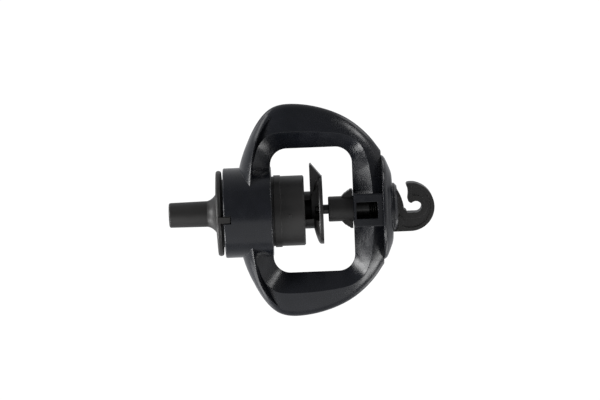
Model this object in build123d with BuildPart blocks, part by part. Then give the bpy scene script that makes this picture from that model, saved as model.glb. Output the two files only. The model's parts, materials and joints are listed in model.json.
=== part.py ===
from build123d import *
import os

# Wire-hung spinner sprinkler head, in millimetres.
# +Z runs along the body axis from the inlet tube to the wire hook, the D of the yoke
# lies in the XZ plane, and the wire that the hook hangs on runs along Y.
# The origin is the centre of the inlet tube's open end.

# ---------------------------------------------------------------- driving dimensions
running_gap = 0.06               # radial clearance of a turning or sliding fit
seat_gap = 0.10                  # radial clearance of an assembly fit
press_gap = 0.02                 # pressed-in pieces are drawn this much small
edge_round = 0.5                 # broken edges of the mouldings
edge_chamfer = 0.3
through = 120.0                  # longer than any wall that a cut goes through

# inlet adaptor
tube_end_radius = 4.85
tube_radius = 5.05
tube_length = 15.0
tube_lip = 0.7
socket_radius = 3.5
socket_depth = 14.0
throat_radius = 2.9
neck_middle = (5.75, 16.6)
neck_end = (7.55, 18.3)
flange_radius = 16.65
flange_bottom = 18.8
flange_top = 20.8
flange_bead = 2.6
flange_dish = 0.7
spigot_top = 30.4
spigot_bore = 10.9
groove_bottom = 26.0
groove_height = 2.2
groove_depth = 1.9
key_width = 2.3
key_top = 24.1

# collar of the yoke
collar_radius = 17.5
collar_bore = 13.3
collar_bottom = 21.6
collar_top = 40.3
notch_width = 3.0
notch_top = 24.5

# D-shaped yoke
outline = [(17.4, 28.0), (20.3, 28.8), (25.1, 30.6), (34.8, 35.6), (40.6, 41.6),
           (41.85, 50.5), (39.6, 61.8), (34.7, 71.8), (27.0, 79.9), (22.3, 83.2)]
arm_depth_ratio = 0.22           # depth of an arm over its width
yoke_top = 83.2
opening_half_width = 24.5
opening_bottom = 40.1
opening_top = 71.9
opening_corner = 6.5
flare = 22.0                     # depth at which the opening's outer outline is given
flare_half_width = 50.6
flare_middle = -6.0
flare_bottom = 23.0
flare_top = 100.2
flare_corner = 15.0

# skirt that spreads the arms into the collar: height, half width and half depth
skirt_levels = [(28.0, 17.4, 8.8), (28.8, 20.3, 10.2), (30.4, 24.7, 12.4), (35.6, 34.3, 14.4),
                (41.6, 40.0, 9.9), (45.5, 41.2, 9.2)]
skirt_crest = [(0, 33.2), (12, 33.4), (17.8, 33.8), (25.3, 34.9), (29.1, 36.1), (32.9, 38.0),
               (36.6, 40.8), (38.0, 42.5), (43, 49.5)]
crest_draft = 2.0                # drop of the crest's wall towards the front

# spring boss in the middle of the yoke's top bar, with a window in its front
boss_half_width = 6.5
boss_half_depth = 7.0
boss_bottom = 71.8
window_bottom = 72.9
window_top = 81.2
window_half_width = 3.3
window_corner = 0.4

# top cap
cap_levels = [(83.2, 20.5, 12.7), (84.0, 20.1, 12.5), (85.0, 18.6, 11.5), (86.1, 15.9, 9.9),
              (87.1, 12.2, 7.6), (88.2, 6.0, 3.8)]
pad_radius = 9.3
pad_bottom = 84.5
pad_top = 88.9
pad_slope = 1.0

# hook and stem
hook_thickness = 5.6
hook_centre = 93.9
hook_radius = 9.5
lip_outside = [(-8.75, 97.6), (-9.4, 95.2), (-9.35, 93.3)]
lip_tip = (-8.9, 92.7)
lip_end = [(-8.2, 92.75), (-6.8, 93.2), (-5.3, 93.3), (-3.7, 93.15)]
lip_nose = (-2.2, 93.35)
lip_inside = (-1.55, 94.5)
eye_centre = 96.15
eye_radius = 2.25
slot_floor = 2.25
slot_end = 91.4
slot_corner = 1.3
neck_back = [(0.95, 91.4), (-2.3, 91.05), (-5.4, 89.8), (-7.6, 88.6)]
neck_foot = -7.6
channel_depth = 0.35
channel_radius = 8.1
channel_end = 94.9
eye_bead = 4.45
slot_bead = 4.6
foot_radius = 2.2
foot_proud = 1.2
foot_place = (5.3, 88.9)
sleeve_bottom = 62.1
sleeve_top = 89.4
barrel_radius = 4.92
barrel_bore = 3.3
barb_steps = [(4.4, 67.0), (6.2, 68.6), (6.2, 68.9), (7.0, 69.8), (7.0, 70.1), (7.6, 70.7),
              (7.6, 71.6)]
barb_depth = 3.4
spring_top = 84.2

# nozzle housing
housing_bottom = 33.0
housing_radius = 14.05
housing_upper_radius = 13.68
housing_neck_radius = 13.6
housing_neck = 41.1
housing_step = 43.7
housing_top = 52.9
housing_groove_bottom = 35.6
cavity_radius = 10.9
cavity_top = 44.6
nozzle_bore = 5.0
well_radius = 8.3
well_floor = 49.0
index_width = 1.5
index_height = 1.0
index_middle = 47.2
index_proud = 0.25

# nozzle insert
orifice_radius = 1.1
insert_flange_radius = 6.2
insert_bottom = 43.2
insert_top = 51.6
insert_tip_radius = 2.2
insert_shoulder_radius = 3.4
insert_shoulder = 49.4
insert_groove_bottom = 46.0
insert_groove_height = 1.5
insert_groove_depth = 1.2

# flow regulator
cage_top = 32.0
cage_rim = 0.4
cage_hole_circle = 6.4
cage_hole_radius = 1.5
cage_hole_count = 8
diaphragm_radius = 9.4
diaphragm_hole = 1.2
diaphragm_thickness = 1.6
seat_bottom = 35.4
seat_thickness = 2.2
seat_nose_radius = 4.2
seat_nose = 1.0
seat_hole = 2.4

# inlet strainer
filter_top = 29.6
filter_wall = 0.9
filter_step = 3.0
filter_foot = 4.0
filter_slot_count = 18
filter_slot_width = 1.2
filter_slot_start = 1.8

# rotor
hub_radius = 7.25
hub_bore = 5.5
hub_bottom = 50.0
hub_top = 57.1
hub_gate_bottom = 52.0
hub_gate_left = -4.8
hub_gate_right = 2.6
bowl_radius = 13.4
bowl_apex = 55.6
bowl_rim = 60.0
bowl_lip = 1.0
bowl_dish = 0.8
bowl_belly = [(1.0, 55.6), (8.0, 56.5), (11.7, 57.6), (13.4, 58.9)]
belly_slopes = ((1, 0), (0.3, 1))
chute = [(2.5, 55.0), (2.5, 58.4), (-11.6, 58.5), (-6.8, 56.2), (-4.8, 55.0)]
chute_start = 1.2
vane_reach = 18.3
vane_bottom = 55.2
vane_half_depth = 2.6
vane_root = -6.0
vane_crest = -12.9
rotor_neck = 1.6
rotor_neck_height = 1.2
shaft_radius = 1.85
shaft_bottom = 57.0
shaft_top = 77.4
shaft_chamfer = 0.2
clip_bottom = 76.45
clip_height = 0.5
clip_groove_radius = 1.3
clip_mouth = 1.4
cup_bottom = 75.0
cup_top = 78.0
cup_floor = 0.9
cup_cavity = 2.6
spring_radius = 2.85
spring_wire = 0.3
spring_turns = 6

os.makedirs("parts", exist_ok=True)


def ellipse_loft(levels):
    """A solid through ellipses stacked along Z."""
    with BuildPart() as body:
        for height, half_width, half_depth in levels:
            with BuildSketch(Plane.XY.offset(height)):
                Ellipse(half_width, half_depth)
        loft()
    return body.part


def o_ring(centre_radius, wire_radius, height):
    """A rubber ring about the body axis."""
    with BuildPart() as piece:
        with BuildSketch(Plane.XZ):
            with Locations((centre_radius, height)):
                Circle(wire_radius)
        revolve(axis=Axis.Z)
    return piece.part


# ---------------------------------------------------------------- yoke
def crest_cutter():
    """All that lies above the skirt's crest."""
    with BuildPart() as cutter:
        for plane, drop in ((Plane.XZ, 0), (Plane.XZ.offset(flare), crest_draft)):
            with BuildSketch(plane):
                with BuildLine():
                    points = [(x, z - drop) for x, z in skirt_crest]
                    Spline(*points)
                    Polyline(points[-1], (points[-1][0], through), (0, through), points[0])
                make_face()
        loft(ruled=True)
        mirror(about=Plane.YZ)
        mirror(about=Plane.XZ)
    return cutter.part


def opening_cutter():
    """The opening of the D, which widens from the middle to the front and back."""
    with BuildPart() as cutter:
        for plane, half_width, middle, bottom, top, corner in (
            (Plane.XZ, opening_half_width, opening_bottom, opening_bottom, opening_top,
             opening_corner),
            (Plane.XZ.offset(flare), flare_half_width, flare_middle, flare_bottom, flare_top,
             flare_corner),
        ):
            with BuildSketch(plane) as opening:
                with BuildLine():
                    Polyline((0, middle), (half_width, bottom), (half_width, top),
                             (-half_width, top), (-half_width, bottom), close=True)
                make_face()
                sides = opening.vertices().group_by(Axis.X)
                fillet(sides[0] + sides[-1], corner)
        loft(ruled=True)
        mirror(about=Plane.XZ)
    return cutter.part


with BuildPart() as arms:
    add(ellipse_loft([(z, x, arm_depth_ratio * x) for x, z in outline]))
    add(opening_cutter(), mode=Mode.SUBTRACT)

with BuildPart() as skirt:
    add(ellipse_loft(skirt_levels))
    add(crest_cutter(), mode=Mode.SUBTRACT)

with BuildPart() as yoke_cores:
    with BuildSketch(Plane.XY.offset(-through)):
        Circle(collar_bore)
    extrude(amount=through + collar_top + edge_round)
    with BuildSketch(Plane.XY.offset(boss_bottom - edge_round)):
        Circle(barrel_radius + seat_gap)
    extrude(amount=through)
    with BuildSketch(Plane.XZ):
        with Locations((0, (window_bottom + window_top) / 2)):
            RectangleRounded(2 * window_half_width, window_top - window_bottom, window_corner)
    extrude(amount=through / 2)
    with BuildSketch(Plane.XZ):
        with Locations((0, notch_top)):
            Rectangle(notch_width, through, align=(Align.CENTER, Align.MAX))
    extrude(amount=through / 2)

with BuildPart() as collar:
    with BuildSketch(Plane.XY.offset(collar_bottom)):
        Circle(collar_radius)
    extrude(amount=collar_top - collar_bottom)
    fillet(collar.edges(), edge_round)

with BuildPart() as boss:
    with BuildSketch(Plane.XY.offset(boss_bottom)):
        RectangleRounded(2 * boss_half_width, 2 * boss_half_depth, edge_round)
    extrude(amount=yoke_top - boss_bottom)
    chamfer(boss.faces().sort_by(Axis.Z)[0].edges(), edge_chamfer)

with BuildPart() as frame_yoke:
    add([arms.part, skirt.part, collar.part, boss.part])
    add(yoke_cores.part, mode=Mode.SUBTRACT)
frame_yoke.part.label = "frame_yoke"
export_step(frame_yoke.part, "parts/frame_yoke.step")


# ---------------------------------------------------------------- top cap
def cap_dome(grow):
    """The dome with its raised middle pad as a solid, grown outward by a small amount."""
    levels = [(yoke_top, cap_levels[0][1] + grow, cap_levels[0][2] + grow)]
    levels += [(z + grow, x + grow, y + grow) for z, x, y in cap_levels[1:]]
    with BuildPart() as dome:
        add(ellipse_loft(levels))
        with BuildSketch(Plane.XY.offset(pad_bottom)):
            Circle(pad_radius + grow)
        extrude(amount=pad_top + grow - pad_bottom)
        chamfer(dome.edges().group_by(Axis.Z)[-1], pad_slope)
    return dome.part


with BuildPart() as top_cap:
    add(cap_dome(0))
    with BuildSketch(Plane.XY):
        Circle(barrel_radius + seat_gap)
    extrude(amount=through, mode=Mode.SUBTRACT)
top_cap.part.label = "top_cap"
export_step(top_cap.part, "parts/top_cap.step")

# ---------------------------------------------------------------- hook and stem
with BuildPart() as hook_plate:
    with BuildSketch(Plane.XZ):
        with BuildLine():
            ThreePointArc((hook_radius, hook_centre), (0, hook_centre + hook_radius),
                          lip_outside[0])
            Spline(*lip_outside)
            ThreePointArc(lip_outside[-1], lip_tip, lip_end[0])
            Spline(*lip_end)
            ThreePointArc(lip_end[-1], lip_nose, lip_inside)
            Line(lip_inside, (lip_inside[0], eye_centre))
            Line((lip_inside[0], eye_centre), (slot_floor, eye_centre))
            Line((slot_floor, eye_centre), (slot_floor, slot_end + slot_corner))
            RadiusArc((slot_floor, slot_end + slot_corner), neck_back[0], -slot_corner)
            Spline(*neck_back)
            Polyline(neck_back[-1], (neck_foot, yoke_top), (hook_radius, yoke_top),
                     (hook_radius, hook_centre))
        make_face()
        with Locations((0, eye_centre)):
            Circle(eye_radius, mode=Mode.SUBTRACT)
    extrude(amount=hook_thickness / 2, both=True)
    for side in (-1, 1):
        with BuildSketch(Plane.XZ.offset(side * (hook_thickness / 2 - channel_depth))):
            with Locations((0, hook_centre)):
                Circle(channel_radius)
            with Locations((0, eye_centre)):
                Rectangle(2 * slot_bead, through, align=(Align.CENTER, Align.MAX),
                          mode=Mode.SUBTRACT)
                Circle(eye_bead, mode=Mode.SUBTRACT)
            with Locations((-slot_bead, channel_end)):
                Rectangle(through, through, align=(Align.MAX, Align.MAX), mode=Mode.SUBTRACT)
        extrude(amount=side * through, mode=Mode.SUBTRACT)
    with BuildSketch(Plane.XZ):
        with Locations(foot_place):
            Circle(foot_radius)
    extrude(amount=hook_thickness / 2 + foot_proud, both=True)
    add(cap_dome(press_gap), mode=Mode.SUBTRACT)

with BuildPart() as barbs:
    with BuildSketch(Plane.XZ):
        with BuildLine():
            Polyline((0, barb_steps[0][1]), *barb_steps, (0, barb_steps[-1][1]), close=True)
        make_face()
    extrude(amount=barb_depth / 2, both=True)
    mirror(about=Plane.YZ)

with BuildPart() as hook_stem:
    with BuildSketch(Plane.XY.offset(sleeve_bottom)):
        Circle(barrel_radius)
    extrude(amount=sleeve_top - sleeve_bottom)
    chamfer(hook_stem.faces().sort_by(Axis.Z)[0].edges(), edge_chamfer)
    add([hook_plate.part, barbs.part])
    with BuildSketch(Plane.XY.offset(sleeve_bottom)):
        Circle(barrel_bore)
    extrude(amount=spring_top - sleeve_bottom, mode=Mode.SUBTRACT)
    with BuildSketch(Plane.XZ):
        with Locations((0, (window_bottom + window_top) / 2)):
            RectangleRounded(2 * window_half_width + 2 * seat_gap,
                             window_top - window_bottom + 2 * seat_gap, window_corner)
    extrude(amount=through / 2, mode=Mode.SUBTRACT)
hook_stem.part.label = "hook_stem"
export_step(hook_stem.part, "parts/hook_stem.step")

# ---------------------------------------------------------------- inlet adaptor
with BuildPart() as inlet_adaptor:
    with BuildSketch(Plane.XZ):
        with BuildLine():
            Polyline((0, 0), (tube_end_radius - tube_lip, 0))
            CenterArc((tube_end_radius - tube_lip, tube_lip), tube_lip, -90, 90)
            Line((tube_end_radius, tube_lip), (tube_radius, tube_length))
            ThreePointArc((tube_radius, tube_length), neck_middle, neck_end)
            Line(neck_end, (flange_radius - edge_round, flange_bottom))
            ThreePointArc((flange_radius - edge_round, flange_bottom),
                          (flange_radius, (flange_bottom + flange_top) / 2),
                          (flange_radius - edge_round, flange_top))
            Polyline((flange_radius - edge_round, flange_top),
                     (flange_radius - flange_bead, flange_top),
                     (collar_bore, flange_top - flange_dish),
                     (collar_bore - seat_gap, flange_top - flange_dish),
                     (collar_bore - seat_gap, spigot_top), (0, spigot_top), (0, 0))
        make_face()
    revolve(axis=Axis.Z)
    with BuildSketch(Plane.XY):
        Circle(socket_radius)
    extrude(amount=socket_depth, mode=Mode.SUBTRACT)
    with BuildSketch(Plane.XY):
        Circle(throat_radius)
    extrude(amount=flange_top, mode=Mode.SUBTRACT)
    with BuildSketch(Plane.XY.offset(flange_top - edge_round)):
        Circle(spigot_bore)
    extrude(amount=through, mode=Mode.SUBTRACT)
    with BuildSketch(Plane.XY.offset(groove_bottom)):
        Circle(through)
        Circle(collar_bore - groove_depth, mode=Mode.SUBTRACT)
    extrude(amount=groove_height, mode=Mode.SUBTRACT)
    with BuildSketch(Plane.XZ.offset(collar_bore - edge_round)):
        with Locations((0, flange_bottom + edge_round)):
            Rectangle(key_width, key_top - flange_bottom - edge_round,
                      align=(Align.CENTER, Align.MIN))
    extrude(amount=collar_radius - collar_bore + edge_round - seat_gap)
inlet_adaptor.part.label = "inlet_adaptor"
export_step(inlet_adaptor.part, "parts/inlet_adaptor.step")

# the rings fill their grooves and stop just short of the bore
ring_wire = (groove_depth - seat_gap) / 2
ring_centre = collar_bore - ring_wire - press_gap
inlet_o_ring = o_ring(ring_centre, ring_wire, groove_bottom + groove_height / 2)
inlet_o_ring.label = "inlet_o_ring"
export_step(inlet_o_ring, "parts/inlet_o_ring.step")

# basket strainer: a cup with tall slots, open towards the tube
filter_radius = spigot_bore - seat_gap
filter_bottom = flange_top - edge_round + press_gap
filter_height = filter_top - filter_bottom
with BuildPart() as inlet_filter:
    with BuildSketch(Plane.XY.offset(filter_bottom)):
        Circle(filter_radius)
        Circle(filter_radius - filter_foot, mode=Mode.SUBTRACT)
    extrude(amount=filter_wall)
    with BuildSketch(Plane.XY.offset(filter_bottom)):
        Circle(filter_radius - filter_step)
    extrude(amount=filter_height)
    with BuildSketch(Plane.XY.offset(filter_bottom)):
        Circle(filter_radius - filter_step - filter_wall)
    extrude(amount=filter_height - filter_wall, mode=Mode.SUBTRACT)
    with BuildSketch(Plane.XY.offset(filter_bottom + filter_slot_start)):
        with PolarLocations(filter_radius - filter_step, filter_slot_count):
            Rectangle(filter_step, filter_slot_width)
    extrude(amount=filter_height - filter_slot_start - 2 * filter_wall, mode=Mode.SUBTRACT)
inlet_filter.part.label = "inlet_filter"
export_step(inlet_filter.part, "parts/inlet_filter.step")

# ---------------------------------------------------------------- flow regulator
cage_bottom = spigot_top + press_gap
with BuildPart() as diaphragm_cage:
    with BuildSketch(Plane.XY.offset(cage_bottom)):
        Circle(collar_bore - seat_gap)
        with PolarLocations(cage_hole_circle, cage_hole_count):
            Circle(cage_hole_radius, mode=Mode.SUBTRACT)
    extrude(amount=cage_top - cage_bottom)
    with BuildSketch(Plane.XY.offset(cage_top)):
        Circle(collar_bore - seat_gap)
        Circle(cavity_radius - cage_rim, mode=Mode.SUBTRACT)
    extrude(amount=housing_bottom - cage_top - press_gap)
diaphragm_cage.part.label = "diaphragm_cage"
export_step(diaphragm_cage.part, "parts/diaphragm_cage.step")

with BuildPart() as regulator_diaphragm:
    with BuildSketch(Plane.XY.offset(cage_top + press_gap)):
        Circle(diaphragm_radius)
        Circle(diaphragm_hole, mode=Mode.SUBTRACT)
    extrude(amount=diaphragm_thickness)
    fillet(regulator_diaphragm.edges(), edge_chamfer)
regulator_diaphragm.part.label = "regulator_diaphragm"
export_step(regulator_diaphragm.part, "parts/regulator_diaphragm.step")

with BuildPart() as regulator_seat:
    with BuildSketch(Plane.XY.offset(seat_bottom)):
        Circle(cavity_radius - press_gap)
        Circle(seat_hole, mode=Mode.SUBTRACT)
    extrude(amount=seat_thickness)
    with BuildSketch(Plane.XY.offset(seat_bottom - seat_nose)):
        Circle(seat_nose_radius)
        Circle(seat_hole, mode=Mode.SUBTRACT)
    extrude(amount=seat_nose)
regulator_seat.part.label = "regulator_seat"
export_step(regulator_seat.part, "parts/regulator_seat.step")

# ---------------------------------------------------------------- nozzle housing
with BuildPart() as nozzle_housing:
    with BuildSketch(Plane.XZ):
        with BuildLine():
            Polyline((0, housing_bottom), (collar_bore - seat_gap, housing_bottom),
                     (collar_bore - seat_gap, collar_top + press_gap),
                     (housing_neck_radius, collar_top + press_gap),
                     (housing_neck_radius, housing_neck),
                     (housing_radius, housing_neck + press_gap),
                     (housing_radius, housing_step), (housing_upper_radius, housing_step),
                     (housing_upper_radius, housing_top - edge_round),
                     (housing_upper_radius - edge_round, housing_top), (0, housing_top),
                     close=True)
        make_face()
    revolve(axis=Axis.Z)
    with BuildSketch(Plane.XY.offset(housing_bottom)):
        Circle(cavity_radius)
    extrude(amount=cavity_top - housing_bottom, mode=Mode.SUBTRACT)
    with BuildSketch(Plane.XY.offset(housing_bottom)):
        Circle(nozzle_bore)
    extrude(amount=through, mode=Mode.SUBTRACT)
    with BuildSketch(Plane.XY.offset(well_floor)):
        Circle(well_radius)
    extrude(amount=through, mode=Mode.SUBTRACT)
    with BuildSketch(Plane.XY.offset(housing_groove_bottom)):
        Circle(through)
        Circle(collar_bore - groove_depth, mode=Mode.SUBTRACT)
    extrude(amount=groove_height, mode=Mode.SUBTRACT)
    with BuildSketch(Plane.XZ.offset(housing_upper_radius - edge_round)):
        with Locations((0, index_middle)):
            Rectangle(index_width, index_height)
    extrude(amount=edge_round + index_proud)
nozzle_housing.part.label = "nozzle_housing"
export_step(nozzle_housing.part, "parts/nozzle_housing.step")

housing_o_ring = o_ring(ring_centre, ring_wire, housing_groove_bottom + groove_height / 2)
housing_o_ring.label = "housing_o_ring"
export_step(housing_o_ring, "parts/housing_o_ring.step")

with BuildPart() as nozzle_insert:
    with BuildSketch(Plane.XZ):
        with BuildLine():
            Polyline((orifice_radius, insert_bottom), (insert_flange_radius, insert_bottom),
                     (insert_flange_radius, cavity_top - press_gap),
                     (nozzle_bore - press_gap, cavity_top - press_gap),
                     (nozzle_bore - press_gap, insert_shoulder),
                     (insert_shoulder_radius, insert_shoulder),
                     (insert_tip_radius, insert_top), (orifice_radius, insert_top), close=True)
        make_face()
    revolve(axis=Axis.Z)
    with BuildSketch(Plane.XY.offset(insert_groove_bottom)):
        Circle(through)
        Circle(nozzle_bore - insert_groove_depth, mode=Mode.SUBTRACT)
    extrude(amount=insert_groove_height, mode=Mode.SUBTRACT)
nozzle_insert.part.label = "nozzle_insert"
export_step(nozzle_insert.part, "parts/nozzle_insert.step")

small_ring_wire = (insert_groove_depth - seat_gap) / 2
nozzle_o_ring = o_ring(nozzle_bore - small_ring_wire - press_gap, small_ring_wire,
                       insert_groove_bottom + insert_groove_height / 2)
nozzle_o_ring.label = "nozzle_o_ring"
export_step(nozzle_o_ring, "parts/nozzle_o_ring.step")

# ---------------------------------------------------------------- rotor
with BuildPart() as deflector:
    with BuildSketch(Plane.XZ):
        with BuildLine():
            Line((0, bowl_apex), bowl_belly[0])
            Spline(*bowl_belly, tangents=belly_slopes)
            Polyline(bowl_belly[-1], (bowl_radius, bowl_rim),
                     (bowl_radius - bowl_lip, bowl_rim),
                     (bowl_radius - bowl_lip - bowl_dish, bowl_rim - bowl_dish),
                     (0, bowl_rim - bowl_dish), (0, bowl_apex))
        make_face()
    revolve(axis=Axis.Z)
    with BuildSketch(Plane.XY.offset(hub_bottom)):
        Circle(hub_radius)
    extrude(amount=hub_top - hub_bottom)
    with BuildSketch(Plane.XZ.offset(-vane_half_depth)):
        with BuildLine():
            Polyline((vane_root, vane_bottom), (-vane_reach + edge_round, vane_bottom),
                     (-vane_reach, vane_bottom + edge_round), (vane_crest, bowl_rim),
                     (vane_root, bowl_rim - bowl_dish), close=True)
        make_face()
    extrude(amount=2 * vane_half_depth)
    with BuildSketch(Plane.XY.offset(bowl_rim - rotor_neck_height)):
        Circle(shaft_radius + rotor_neck)
    extrude(amount=rotor_neck_height)
    with BuildSketch(Plane.XY.offset(hub_bottom)):
        Circle(hub_bore)
    extrude(amount=bowl_apex - hub_bottom, mode=Mode.SUBTRACT)
    with BuildSketch(Plane.XZ):
        with Locations((hub_gate_left, hub_gate_bottom)):
            Rectangle(hub_gate_right - hub_gate_left, bowl_apex - hub_gate_bottom,
                      align=(Align.MIN, Align.MIN))
    extrude(amount=through / 2, mode=Mode.SUBTRACT)
    with BuildSketch(Plane.XZ.offset(chute_start)):
        with BuildLine():
            Polyline(*chute, close=True)
        make_face()
    extrude(amount=through / 2, mode=Mode.SUBTRACT)
    with BuildSketch(Plane.XY.offset(shaft_bottom)):
        Circle(shaft_radius + press_gap)
    extrude(amount=through, mode=Mode.SUBTRACT)
deflector.part.label = "deflector"
export_step(deflector.part, "parts/deflector.step")

with BuildPart() as rotor_shaft:
    with BuildSketch(Plane.XY.offset(shaft_bottom)):
        Circle(shaft_radius)
    extrude(amount=shaft_top - shaft_bottom)
    chamfer(rotor_shaft.edges().filter_by(GeomType.CIRCLE), shaft_chamfer)
    with BuildSketch(Plane.XY.offset(clip_bottom - press_gap)):
        Circle(2 * shaft_radius)
        Circle(clip_groove_radius, mode=Mode.SUBTRACT)
    extrude(amount=clip_height + 2 * press_gap, mode=Mode.SUBTRACT)
rotor_shaft.part.label = "rotor_shaft"
export_step(rotor_shaft.part, "parts/rotor_shaft.step")

with BuildPart() as bearing_bush:
    with BuildSketch(Plane.XY.offset(sleeve_bottom + seat_gap)):
        Circle(barrel_bore - press_gap)
        Circle(shaft_radius + running_gap, mode=Mode.SUBTRACT)
    extrude(amount=cup_bottom - press_gap - sleeve_bottom - seat_gap)
bearing_bush.part.label = "bearing_bush"
export_step(bearing_bush.part, "parts/bearing_bush.step")

with BuildPart() as thrust_cup:
    with BuildSketch(Plane.XY.offset(cup_bottom)):
        Circle(barrel_bore - running_gap)
        Circle(shaft_radius + running_gap, mode=Mode.SUBTRACT)
    extrude(amount=cup_top - cup_bottom)
    with BuildSketch(Plane.XY.offset(cup_bottom + cup_floor)):
        Circle(cup_cavity)
    extrude(amount=through, mode=Mode.SUBTRACT)
thrust_cup.part.label = "thrust_cup"
export_step(thrust_cup.part, "parts/thrust_cup.step")

washer_bottom = cup_bottom + cup_floor + press_gap
with BuildPart() as thrust_washer:
    with BuildSketch(Plane.XY.offset(washer_bottom)):
        Circle(cup_cavity - running_gap)
        Circle(shaft_radius + running_gap, mode=Mode.SUBTRACT)
    extrude(amount=clip_bottom - press_gap - washer_bottom)
thrust_washer.part.label = "thrust_washer"
export_step(thrust_washer.part, "parts/thrust_washer.step")

with BuildPart() as shaft_clip:
    with BuildSketch(Plane.XY.offset(clip_bottom)):
        Circle(cup_cavity - seat_gap)
        Circle(clip_groove_radius + press_gap, mode=Mode.SUBTRACT)
        Rectangle(through, clip_mouth, align=(Align.MIN, Align.CENTER), mode=Mode.SUBTRACT)
    extrude(amount=clip_height)
shaft_clip.part.label = "shaft_clip"
export_step(shaft_clip.part, "parts/shaft_clip.step")

# compression spring between the cup's rim and the end of the spring barrel
spring_bottom_centre = cup_top + spring_wire + press_gap
spring_length = spring_top - cup_top - 2 * spring_wire - 2 * press_gap
with BuildPart() as return_spring:
    with BuildLine() as coil:
        Helix(spring_length / spring_turns, spring_length, spring_radius,
              center=(0, 0, spring_bottom_centre))
    with BuildSketch(Plane(origin=coil.line @ 0, z_dir=coil.line % 0)):
        Circle(spring_wire)
    sweep()
return_spring.part.label = "return_spring"
export_step(return_spring.part, "parts/return_spring.step")
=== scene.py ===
# Wire-hung spinner sprinkler head: materials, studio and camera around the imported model.
# Lengths are in metres, powers in watts. +Z runs up the body axis to the hook, -Y is the front.
import math
import json

import bpy
from mathutils import Matrix, Vector


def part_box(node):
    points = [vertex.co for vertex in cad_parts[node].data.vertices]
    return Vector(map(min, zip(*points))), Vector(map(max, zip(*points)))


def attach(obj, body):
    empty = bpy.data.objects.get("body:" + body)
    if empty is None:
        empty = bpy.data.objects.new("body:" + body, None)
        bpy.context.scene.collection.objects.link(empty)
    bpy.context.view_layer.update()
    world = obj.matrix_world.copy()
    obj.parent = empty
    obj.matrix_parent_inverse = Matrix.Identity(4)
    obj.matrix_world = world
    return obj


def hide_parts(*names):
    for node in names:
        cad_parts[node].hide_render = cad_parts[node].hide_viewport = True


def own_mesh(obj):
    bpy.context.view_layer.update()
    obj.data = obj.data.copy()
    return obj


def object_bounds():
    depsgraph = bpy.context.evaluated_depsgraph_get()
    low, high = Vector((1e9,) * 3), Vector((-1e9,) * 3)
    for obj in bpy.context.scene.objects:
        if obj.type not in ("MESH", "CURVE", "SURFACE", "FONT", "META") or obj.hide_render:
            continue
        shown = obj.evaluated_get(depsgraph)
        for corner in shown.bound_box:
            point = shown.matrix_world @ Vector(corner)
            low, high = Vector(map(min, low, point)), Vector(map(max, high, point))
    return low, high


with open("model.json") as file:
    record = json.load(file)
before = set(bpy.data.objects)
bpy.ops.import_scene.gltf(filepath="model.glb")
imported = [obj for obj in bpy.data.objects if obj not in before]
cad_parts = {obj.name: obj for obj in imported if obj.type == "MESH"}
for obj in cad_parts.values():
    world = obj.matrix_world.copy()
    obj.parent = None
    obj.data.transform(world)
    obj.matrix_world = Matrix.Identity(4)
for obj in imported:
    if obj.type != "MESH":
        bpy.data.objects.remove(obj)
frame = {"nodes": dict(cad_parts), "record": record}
nodes = frame["nodes"]
cad_low, cad_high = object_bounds()

MM = 0.001


# ---------------------------------------------------------------- shader node helpers
def new_material(name):
    """A material with an empty tree but for its output and one Principled shader."""
    material = bpy.data.materials.new(name)
    material.use_nodes = True
    tree = material.node_tree
    tree.nodes.clear()
    output = tree.nodes.new("ShaderNodeOutputMaterial")
    shader = tree.nodes.new("ShaderNodeBsdfPrincipled")
    tree.links.new(shader.outputs["BSDF"], output.inputs["Surface"])
    return material, tree, shader


def link(tree, source, target):
    tree.links.new(source, target)


def object_point(tree):
    """The point on the piece in the shared frame."""
    return tree.nodes.new("ShaderNodeTexCoord").outputs["Object"]


def noise(tree, point, size, detail=3.0):
    """Noise whose blobs are about size across."""
    node = tree.nodes.new("ShaderNodeTexNoise")
    node.inputs["Scale"].default_value = 1.0 / size
    node.inputs["Detail"].default_value = detail
    node.inputs["Roughness"].default_value = 0.55
    link(tree, point, node.inputs["Vector"])
    return node.outputs["Fac"]


def ramp(tree, value, low, high, start=0.35, end=0.65):
    """Maps start..end, by default the middle of a noise's range, to low..high."""
    node = tree.nodes.new("ShaderNodeMapRange")
    node.inputs["From Min"].default_value = start
    node.inputs["From Max"].default_value = end
    node.inputs["To Min"].default_value = low
    node.inputs["To Max"].default_value = high
    link(tree, value, node.inputs["Value"])
    return node.outputs["Result"]


def two_tone(tree, factor, dark, light):
    """Mixes two colours; a Mix node's colour sockets can only be told apart by number."""
    first_colour = 6
    second_colour = 7
    mixed_colour = 2
    node = tree.nodes.new("ShaderNodeMix")
    node.data_type = "RGBA"
    node.inputs[first_colour].default_value = (*dark, 1.0)
    node.inputs[second_colour].default_value = (*light, 1.0)
    link(tree, factor, node.inputs["Factor"])
    return node.outputs[mixed_colour]


def stretched(tree, point, factors):
    """The point with each coordinate scaled, so that noise on it has long or flat blobs."""
    node = tree.nodes.new("ShaderNodeMapping")
    node.inputs["Scale"].default_value = factors
    link(tree, point, node.inputs["Vector"])
    return node.outputs["Vector"]


def bump(tree, height, depth, strength, normal=None):
    node = tree.nodes.new("ShaderNodeBump")
    node.inputs["Distance"].default_value = depth
    node.inputs["Strength"].default_value = strength
    link(tree, height, node.inputs["Height"])
    if normal is not None:
        link(tree, normal, node.inputs["Normal"])
    return node.outputs["Normal"]


def cloudy_colour(tree, shader, point, size, dark, light):
    """Soft clouds between two shades of the material's colour."""
    clouds = ramp(tree, noise(tree, point, size), 0.0, 1.0)
    link(tree, two_tone(tree, clouds, dark, light), shader.inputs["Base Color"])


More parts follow.
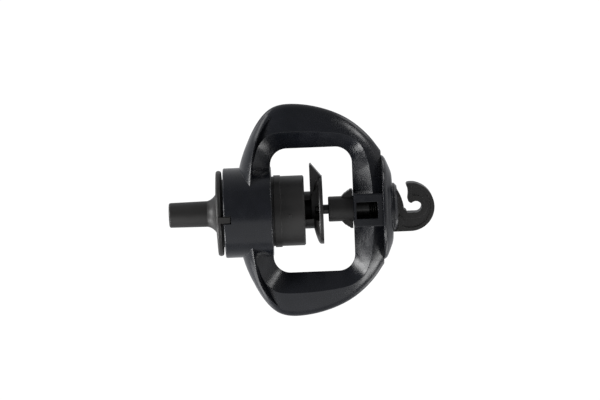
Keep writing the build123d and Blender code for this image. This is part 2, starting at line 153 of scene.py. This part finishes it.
def uneven_gloss(tree, shader, point, size, roughness, detail=3.0):
    """Patches between the lowest and the highest roughness."""
    lowest, highest = roughness
    patches = noise(tree, point, size, detail)
    link(tree, ramp(tree, patches, lowest, highest), shader.inputs["Roughness"])


# ---------------------------------------------------------------- materials
def moulded_plastic(name, dark, light, roughness, grain, grain_depth, edge, flow=(1, 1, 1)):
    """Injection-moulded plastic: cloudy colour, uneven gloss, fine grain and softened edges."""
    cloud_size = 9 * MM
    handling_size = 2.5 * MM
    wave_size = 7 * MM
    wave_depth = 0.05 * MM
    material, tree, shader = new_material(name)
    point = object_point(tree)
    flow_point = stretched(tree, point, flow)
    cloudy_colour(tree, shader, flow_point, cloud_size, dark, light)
    uneven_gloss(tree, shader, flow_point, handling_size, roughness, detail=5.0)
    softened = tree.nodes.new("ShaderNodeBevel")
    softened.samples = 6
    softened.inputs["Radius"].default_value = edge
    waves = bump(tree, noise(tree, point, wave_size, detail=1.0), wave_depth, 0.5,
                 softened.outputs["Normal"])
    fine = bump(tree, noise(tree, point, grain, detail=1.0), grain_depth, 0.4, waves)
    link(tree, fine, shader.inputs["Normal"])
    shader.inputs["IOR"].default_value = 1.5
    return material


def yoke_plastic():
    """Bluish black with a satin gloss."""
    return moulded_plastic("yoke_plastic",
                           dark=(0.005, 0.006, 0.009), light=(0.008, 0.009, 0.013),
                           roughness=(0.20, 0.30),
                           grain=0.35 * MM, grain_depth=0.004 * MM, edge=0.35 * MM)


def body_plastic():
    """Neutral black and matte, with clouds drawn out along the body axis."""
    return moulded_plastic("body_plastic",
                           dark=(0.012, 0.0115, 0.011), light=(0.018, 0.017, 0.0165),
                           roughness=(0.40, 0.52),
                           grain=0.25 * MM, grain_depth=0.010 * MM, edge=0.25 * MM,
                           flow=(1, 1, 0.25))


def rotor_plastic():
    """Neutral black, a little glossier than the body."""
    return moulded_plastic("rotor_plastic",
                           dark=(0.010, 0.009, 0.009), light=(0.015, 0.014, 0.014),
                           roughness=(0.34, 0.46),
                           grain=0.25 * MM, grain_depth=0.008 * MM, edge=0.2 * MM)


def shaft_plastic():
    """Polished black, with faint rings round the shaft."""
    return moulded_plastic("shaft_plastic",
                           dark=(0.005, 0.005, 0.004), light=(0.009, 0.008, 0.007),
                           roughness=(0.22, 0.32),
                           grain=0.2 * MM, grain_depth=0.004 * MM, edge=0.1 * MM,
                           flow=(1, 1, 4))


def inner_plastic():
    """Dark grey, for the moulded pieces inside the collar."""
    return moulded_plastic("inner_plastic",
                           dark=(0.05, 0.05, 0.05), light=(0.07, 0.07, 0.07),
                           roughness=(0.40, 0.50),
                           grain=0.25 * MM, grain_depth=0.008 * MM, edge=0.15 * MM)


def acetal():
    """Turned black acetal, with faint rings round the axis."""
    return moulded_plastic("acetal",
                           dark=(0.018, 0.018, 0.018), light=(0.026, 0.026, 0.025),
                           roughness=(0.25, 0.35),
                           grain=0.2 * MM, grain_depth=0.004 * MM, edge=0.1 * MM,
                           flow=(1, 1, 5))


def rubber(name, dark, light):
    """Smooth rubber with a dusty, slightly pitted skin."""
    cloud_size = 3 * MM
    dust_size = 1 * MM
    pit_size = 0.15 * MM
    pit_depth = 0.01 * MM
    material, tree, shader = new_material(name)
    point = object_point(tree)
    cloudy_colour(tree, shader, point, cloud_size, dark, light)
    uneven_gloss(tree, shader, point, dust_size, (0.5, 0.65))
    pits = bump(tree, noise(tree, point, pit_size), pit_depth, 0.5)
    link(tree, pits, shader.inputs["Normal"])
    return material


def seal_rubber():
    return rubber("seal_rubber", dark=(0.012, 0.012, 0.012), light=(0.02, 0.02, 0.02))


def silicone():
    return rubber("silicone", dark=(0.52, 0.50, 0.45), light=(0.62, 0.60, 0.55))


def spring_steel():
    """Drawn wire, near black: partly dark steel, partly painted shade for the shaded boss window;
    fine lines along the coil and small dull patches.
    """
    patch_size = 1 * MM
    dull_size = 0.4 * MM
    line_size = 0.3 * MM
    line_depth = 0.004 * MM
    material, tree, shader = new_material("spring_steel")
    point = object_point(tree)
    # Painted shade: the wire's colour is kept near black so the coil looks as if it lies in the
    # shade inside the boss window; part of this darkness is the dark steel itself.
    cloudy_colour(tree, shader, point, patch_size, (0.03, 0.03, 0.03), (0.07, 0.07, 0.065))
    shader.inputs["Metallic"].default_value = 1.0
    uneven_gloss(tree, shader, point, dull_size, (0.38, 0.5))
    lines = noise(tree, stretched(tree, point, (1, 1, 12)), line_size)
    link(tree, bump(tree, lines, line_depth, 0.4), shader.inputs["Normal"])
    return material


makers = {
    "yoke_plastic": yoke_plastic,
    "body_plastic": body_plastic,
    "rotor_plastic": rotor_plastic,
    "shaft_plastic": shaft_plastic,
    "inner_plastic": inner_plastic,
    "acetal": acetal,
    "seal_rubber": seal_rubber,
    "silicone": silicone,
    "spring_steel": spring_steel,
}
finishes = {slot: make() for slot, make in makers.items()}
slot_of = {part["node"]: part["material_slot"] for part in frame["record"]["subparts"]}

for node_name, node in nodes.items():
    node.data.materials.clear()
    node.data.materials.append(finishes[slot_of[node_name]])


# ---------------------------------------------------------------- return spring
def tube_along(name, centres, outward, radius, sides=12):
    """A closed tube of round section through centres, where outward points off the coil's axis."""
    upward = Vector((0, 0, 1))
    corners = []
    for centre, away in zip(centres, outward):
        for side in range(sides):
            angle = math.tau * side / sides
            corners.append(centre + radius * (math.cos(angle) * away + math.sin(angle) * upward))
    faces = []
    for ring in range(len(centres) - 1):
        for side in range(sides):
            here = ring * sides + side
            beside = ring * sides + (side + 1) % sides
            faces.append((here, here + sides, beside + sides, beside))
    last = len(corners) - sides
    faces.append(tuple(range(sides)))
    faces.append(tuple(reversed(range(last, last + sides))))
    mesh = bpy.data.meshes.new(name)
    mesh.from_pydata([tuple(corner) for corner in corners], [], faces)
    for polygon in mesh.polygons:
        polygon.use_smooth = len(polygon.vertices) == 4
    piece = bpy.data.objects.new(name, mesh)
    bpy.context.scene.collection.objects.link(piece)
    return piece


def coil_spring():
    """The return spring with closed end turns, built at rest length; the real spring shortens as
    the rotor lifts, but this mesh stays fixed.
    """
    low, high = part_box("return_spring")
    wire_radius = 0.3 * MM
    end_turns = 1.0
    open_turns = 5.0
    steps_per_turn = 48
    radius = (high[0] - low[0]) / 2 - wire_radius
    start = low[2] + wire_radius
    closed_rise = 2 * wire_radius * end_turns
    open_rise = high[2] - low[2] - 2 * wire_radius - 2 * closed_rise
    centres = []
    outward = []
    for step in range(int(steps_per_turn * (open_turns + 2 * end_turns)) + 1):
        turn = step / steps_per_turn
        lower = min(turn, end_turns) / end_turns * closed_rise
        middle_part = min(max(turn - end_turns, 0.0), open_turns) / open_turns * open_rise
        upper = max(turn - end_turns - open_turns, 0.0) / end_turns * closed_rise
        away = Vector((math.cos(math.tau * turn), math.sin(math.tau * turn), 0))
        centres.append(radius * away + Vector((0, 0, start + lower + middle_part + upper)))
        outward.append(away)
    spring = tube_along("spring_coil", centres, outward, wire_radius)
    spring.data.materials.append(finishes["spring_steel"])
    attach(spring, "body")
    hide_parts("return_spring")
    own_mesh(spring)


coil_spring()

# ---------------------------------------------------------------- studio
middle = (cad_low + cad_high) / 2
lamp_distance = 0.7


def panel(name, place, size, power):
    """A square softbox that faces the middle of the object."""
    data = bpy.data.lights.new(name, "AREA")
    data.shape = "RECTANGLE"
    data.size = size
    data.size_y = size
    data.energy = power
    lamp = bpy.data.objects.new(name, data)
    lamp.location = place
    lamp.rotation_mode = "QUATERNION"
    lamp.rotation_quaternion = (middle - Vector(place)).to_track_quat("-Z", "Y")
    bpy.context.scene.collection.objects.link(lamp)


def white_room():
    """Plain white to the camera; for everything else a dim room, lighter behind the object."""
    front_glow = 0.19
    back_glow = 0.62
    front_edge = -0.4
    back_edge = 0.7
    world = bpy.data.worlds.new("room")
    bpy.context.scene.world = world
    world.use_nodes = True
    tree = world.node_tree
    tree.nodes.clear()
    output = tree.nodes.new("ShaderNodeOutputWorld")
    direction = tree.nodes.new("ShaderNodeTexCoord").outputs["Generated"]
    split = tree.nodes.new("ShaderNodeSeparateXYZ")
    link(tree, direction, split.inputs["Vector"])
    glow = tree.nodes.new("ShaderNodeBackground")
    glow.inputs["Color"].default_value = (0.96, 0.97, 1.0, 1.0)
    link(tree, ramp(tree, split.outputs["Y"], front_glow, back_glow, front_edge, back_edge),
         glow.inputs["Strength"])
    white = tree.nodes.new("ShaderNodeBackground")
    white.inputs["Color"].default_value = (1, 1, 1, 1)
    white.inputs["Strength"].default_value = 1.05
    seen = tree.nodes.new("ShaderNodeLightPath")
    mix = tree.nodes.new("ShaderNodeMixShader")
    link(tree, seen.outputs["Is Camera Ray"], mix.inputs["Fac"])
    link(tree, glow.outputs["Background"], mix.inputs[1])
    link(tree, white.outputs["Background"], mix.inputs[2])
    link(tree, mix.outputs["Shader"], output.inputs["Surface"])


def pale_floor():
    """A plain pale floor far below the hanging head, outside the main view."""
    drop = 0.8
    reach = 5.5
    bpy.ops.mesh.primitive_circle_add(vertices=96, radius=reach, fill_type="NGON",
                                      location=(0, 0, -drop))
    floor = bpy.context.object
    floor.name = "floor"
    material, _, shader = new_material("floor")
    shader.inputs["Base Color"].default_value = (0.8, 0.8, 0.8, 1.0)
    shader.inputs["Roughness"].default_value = 0.9
    shader.inputs["Emission Color"].default_value = (1, 1, 1, 1)
    shader.inputs["Emission Strength"].default_value = 0.75
    floor.data.materials.append(material)
    floor.visible_diffuse = False
    floor.visible_glossy = False


def corner_lamps():
    """Four softboxes a little behind the plane that the D lies in, for its outer edges."""
    aside = 0.68
    behind = 0.27
    size = 0.30
    power = 0.55
    for across in (-1, 1):
        for along in (-1, 1):
            direction = Vector((across * aside, behind, along * aside))
            panel("corner_lamp", middle + direction * lamp_distance, size, power)


def opening_lamps():
    """Softboxes in front of that plane, which the opening's bevelled corners reflect."""
    power_per_area = 22.0
    for name, direction, size, strength in (
        ("foot_lamp_left", (-0.18, -0.36, -0.91), 0.34, 1.6),
        ("foot_lamp_right", (0.56, -0.28, -0.78), 0.24, 2.6),
        ("hook_lamp_left", (-0.62, -0.42, 0.66), 0.16, 1.1),
        ("hook_lamp_right", (0.62, -0.42, 0.66), 0.22, 1.1),
    ):
        place = middle + Vector(direction) * lamp_distance
        panel(name, place, size, power_per_area * strength * size * size)


white_room()
pale_floor()
corner_lamps()
opening_lamps()
panel("front_fill", place=(0.72, -0.74, 0.05), size=1.3, power=3.0)
panel("hook_side_glow", place=(0, -0.1, 1.0), size=1.0, power=1.4)


# ---------------------------------------------------------------- camera
def side_camera():
    """Looks at the D from the front, lying on its side: the axis runs to the picture's right."""
    azimuth = math.radians(-9.0)
    tilt = math.radians(2.3)
    distance = 0.94
    aim_up_axis = 0.0512
    aim_aside = -0.0040
    sideways = Vector((math.cos(azimuth), math.sin(azimuth), 0))
    back = Vector((math.sin(azimuth), -math.cos(azimuth), 0))
    axis = Vector((0, 0, 1))
    right = axis * math.cos(tilt) + sideways * math.sin(tilt)
    up = axis * math.sin(tilt) - sideways * math.cos(tilt)
    data = bpy.data.cameras.new("camera")
    data.sensor_width = 36.0
    data.lens = 144.6
    data.clip_start = 0.01
    data.clip_end = 50.0
    camera = bpy.data.objects.new("camera", data)
    place = axis * aim_up_axis + sideways * aim_aside + back * distance
    turn = Matrix((right, up, back)).transposed()
    camera.matrix_world = Matrix.Translation(place) @ turn.to_4x4()
    bpy.context.scene.collection.objects.link(camera)
    bpy.context.scene.camera = camera


def plain_tones():
    """Shows the rendered light as it is, with no film look."""
    view = bpy.context.scene.view_settings
    view.view_transform = "Standard"
    view.look = "None"
    view.exposure = 0.0
    view.gamma = 1.0


side_camera()
plain_tones()
